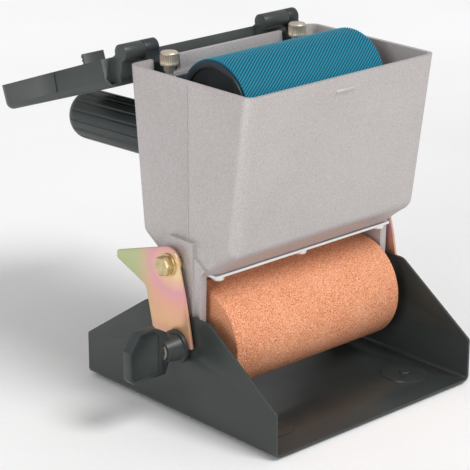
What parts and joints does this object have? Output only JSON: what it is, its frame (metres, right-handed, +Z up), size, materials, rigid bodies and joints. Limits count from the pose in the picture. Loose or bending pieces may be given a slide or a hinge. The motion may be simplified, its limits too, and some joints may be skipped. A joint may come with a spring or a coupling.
{
  "type": "hand glue applicator",
  "caption": "Hand glue applicator: cast aluminium hopper with hinged lid and fluted handle over a foam roller, standing in a folded drip tray, with a ribbed spare roller parked in the hopper",
  "frame": {"origin": "on the ground under the middle of the drip tray", "axes": "X along the roller, -Y towards the open front of the tray, +Y towards the handle, +Z up"},
  "size_m": [0.2531, 0.3208, 0.252],
  "materials": {
    "tray_lacquer": "black lacquer on folded sheet",
    "foot_rubber": "moulded black rubber",
    "bright_steel": "turned or drawn bright steel",
    "zinc_steel": "zinc plated",
    "yellow_zinc": "yellow chromate on zinc plate",
    "cast_aluminium": "die cast, fine matt grain",
    "seal_rubber": "black rubber strip",
    "orange_foam": "open fine pored sponge rubber",
    "black_plastic": "moulded black plastic",
    "nickel_brass": "nickel plated brass",
    "black_steel": "black oxide",
    "teal_rubber": "fine ribbed teal rubber"
  },
  "bodies": {
    "tray_body": {"tray": "tray_lacquer", "tray_feet": "foot_rubber", "foot_rivets": "tray_lacquer"},
    "head": {"hopper": "cast_aluminium", "doctor_blade": "bright_steel", "blade_screws": "bright_steel", "rear_seal": "seal_rubber", "axle": "bright_steel", "pivot_bolts": "zinc_steel", "pivot_washers": "zinc_steel", "pivot_spacers": "zinc_steel", "hinge_brackets": "black_plastic", "hinge_pins": "bright_steel", "hinge_screws": "black_steel", "handle_stem": "cast_aluminium", "handle_bolts": "black_steel", "grip": "black_plastic", "screw_clip_left": "bright_steel", "screw_clip_right": "bright_steel"},
    "glue_roller": {"foam_sleeve": "orange_foam", "roller_tube": "bright_steel", "roller_bush_left": "black_plastic", "roller_bush_right": "black_plastic"},
    "knob_body": {"wing_knob": "black_plastic", "knob_insert": "nickel_brass"},
    "arm_left_body": {"arm_left": "yellow_zinc"},
    "arm_right_body": {"arm_right": "yellow_zinc"},
    "lid_body": {"lid": "black_plastic"},
    "shutter_body": {"shutter": "black_plastic"},
    "screw_left_body": {"thumb_screw_left": "nickel_brass"},
    "screw_right_body": {"thumb_screw_right": "nickel_brass"},
    "spare_roller": {"spare_sleeve": "teal_rubber", "spare_tube": "bright_steel", "spare_spindle": "bright_steel", "spare_cap_left": "black_plastic", "spare_cap_right": "black_plastic"}
  },
  "joints": [
    {"name": "head_lift", "type": "slide", "parent": "tray_body", "child": "head", "axis": [0, 0, 1], "range_m": [0, 0.08]},
    {"name": "roller_spin", "type": "hinge", "parent": "head", "child": "glue_roller", "pos_m": [0, -0.005, 0.056], "axis": [1, 0, 0], "continuous": true},
    {"name": "knob_turn", "type": "hinge", "parent": "head", "child": "knob_body", "pos_m": [0, -0.005, 0.056], "axis": [1, 0, 0], "continuous": true},
    {"name": "arm_left_swing", "type": "hinge", "parent": "head", "child": "arm_left_body", "pos_m": [0, 0.0035, 0.113], "axis": [1, 0, 0], "range_deg": [-35, 0]},
    {"name": "arm_right_swing", "type": "hinge", "parent": "head", "child": "arm_right_body", "pos_m": [0, 0.0035, 0.113], "axis": [1, 0, 0], "range_deg": [-35, 0]},
    {"name": "lid_hinge", "type": "hinge", "parent": "head", "child": "lid_body", "pos_m": [0, 0.067, 0.246], "axis": [-1, 0, 0], "range_deg": [-202.4, 0]},
    {"name": "shutter_rise", "type": "slide", "parent": "head", "child": "shutter_body", "axis": [0, 0, 1], "range_m": [0, 0.01]},
    {"name": "screw_left_turn", "type": "hinge", "parent": "head", "child": "screw_left_body", "pos_m": [-0.061, 0.0463, 0.23], "axis": [0, 0, 1], "range_deg": [0, 3605]},
    {"name": "screw_right_turn", "type": "hinge", "parent": "head", "child": "screw_right_body", "pos_m": [0.061, 0.0463, 0.23], "axis": [0, 0, 1], "range_deg": [0, 3605]},
    {"name": "spare_lift", "type": "slide", "parent": "head", "child": "spare_roller", "axis": [0, 0, 1], "range_m": [0, 0.07]}
  ],
  "couplings": [
    {"joint": "screw_left_turn", "follows": "shutter_rise", "rad_per_m": 6283.2},
    {"joint": "screw_right_turn", "follows": "shutter_rise", "rad_per_m": 6283.2}
  ]
}
